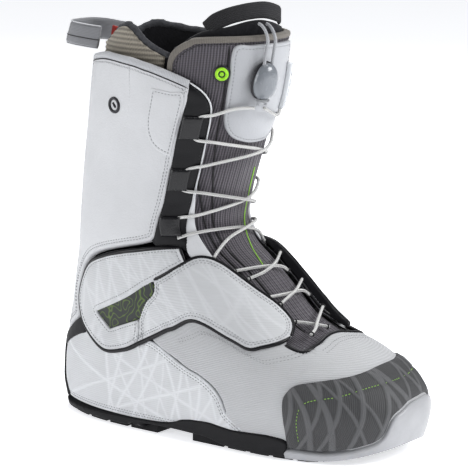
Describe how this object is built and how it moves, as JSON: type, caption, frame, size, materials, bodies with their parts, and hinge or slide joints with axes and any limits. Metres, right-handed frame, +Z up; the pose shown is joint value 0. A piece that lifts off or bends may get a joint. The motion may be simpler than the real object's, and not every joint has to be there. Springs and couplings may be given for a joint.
{
  "type": "snowboard boot",
  "caption": "Right snowboard boot with a laced throat, flexing cuff, padded liner, sliding lace lock and treaded rubber sole.",
  "frame": {"origin": "on the ground under the middle of the sole", "axes": "+X towards the toe, +Y towards the inner side of the foot, +Z up"},
  "size_m": [0.3096, 0.1168, 0.3177],
  "materials": {
    "outsole_rubber": "matte moulded rubber",
    "bumper_rubber": "satin light grey rubber",
    "midsole_foam": "foam",
    "shank_steel": "brushed",
    "board": "pressed fibre board",
    "footbed_foam": "foam with a fabric top",
    "liner_fabric": "black brushed fabric",
    "collar_fleece": "grey fleece",
    "rib_knit": "ribbed knit",
    "heel_plastic": "moulded plastic",
    "upper_textile": "fine ribbed synthetic textile",
    "cuff_synthetic": "smooth white synthetic leather",
    "overlay_synthetic": "printed synthetic leather",
    "toe_rubber": "embossed grey rubber",
    "window_rubber": "dark green relief rubber",
    "facing_leather": "smooth black synthetic leather",
    "webbing": "black webbing",
    "tongue_knit": "grey ribbed fabric",
    "shield_synthetic": "smooth white synthetic leather",
    "binding_tape": "taupe binding tape",
    "cuff_piping": "grey binding tape",
    "badge_rubber": "lime green moulded rubber",
    "side_badge_rubber": "black moulded rubber",
    "lace_cord": "braided off-white cord",
    "dock_plastic": "light grey plastic",
    "lock_plastic": "grey gloss plastic",
    "grey_webbing": "grey webbing"
  },
  "bodies": {
    "boot": {"heel_outsole": "outsole_rubber", "forefoot_outsole": "outsole_rubber", "sole_rand": "outsole_rubber", "toe_bumper": "bumper_rubber", "midsole": "midsole_foam", "shank": "shank_steel", "lasting_board": "board", "footbed": "footbed_foam", "liner_foot": "liner_fabric", "heel_cup": "heel_plastic", "vamp": "upper_textile", "toe_cap": "toe_rubber", "heel_counter": "upper_textile", "heel_rand": "outsole_rubber", "heel_band": "outsole_rubber", "wing_panel_outer": "overlay_synthetic", "wing_panel_inner": "overlay_synthetic", "ankle_panel_outer": "overlay_synthetic", "ankle_panel_inner": "overlay_synthetic", "ankle_window_outer": "window_rubber", "ankle_window_inner": "window_rubber", "eyestay_inner": "facing_leather", "lace_keepers": "webbing", "lower_tongue": "tongue_knit", "lower_lace": "lace_cord", "ankle_gusset": "upper_textile", "flex_tongue": "tongue_knit", "flex_liner": "liner_fabric", "flex_lace": "lace_cord"},
    "cuff": {"cuff_panel_outer": "cuff_synthetic", "cuff_panel_inner": "cuff_synthetic", "back_stay": "upper_textile", "back_tab": "outsole_rubber", "facing_outer": "facing_leather", "facing_inner": "facing_leather", "lace_guides": "webbing", "cuff_binding": "cuff_piping", "stash_pocket": "cuff_synthetic", "side_badge": "side_badge_rubber", "upper_tongue": "tongue_knit", "tongue_shield": "shield_synthetic", "tongue_binding": "binding_tape", "tongue_badge": "badge_rubber", "liner_cuff": "liner_fabric", "liner_collar": "collar_fleece", "liner_knit": "rib_knit", "liner_tongue": "liner_fabric", "upper_lace": "lace_cord", "lace_dock": "dock_plastic", "loop_lace": "lace_cord"},
    "lock": {"lace_lock": "lock_plastic"},
    "front_loop": {"front_pull_loop": "webbing"},
    "rear_loop": {"rear_pull_loop": "grey_webbing"}
  },
  "joints": [
    {"name": "cuff_flex", "type": "hinge", "parent": "boot", "child": "cuff", "pos_m": [-0.065, 0, 0.11], "axis": [0, 1, 0], "range_deg": [0, 12], "stiffness_Nm_per_rad": 60, "deforming": ["ankle_gusset", "flex_tongue", "flex_liner", "flex_lace"]},
    {"name": "lock_slide", "type": "slide", "parent": "cuff", "child": "lock", "axis": [0.1822, 0, 0.9833], "range_m": [0, 0.012]},
    {"name": "front_loop_flip", "type": "hinge", "parent": "cuff", "child": "front_loop", "pos_m": [0.012, 0, 0.3], "axis": [0, 1, 0], "range_deg": [-35, 0], "stiffness_Nm_per_rad": 0.05},
    {"name": "rear_loop_flip", "type": "hinge", "parent": "cuff", "child": "rear_loop", "pos_m": [-0.11, 0, 0.2835], "axis": [0, 1, 0], "range_deg": [0, 45], "stiffness_Nm_per_rad": 0.05}
  ]
}
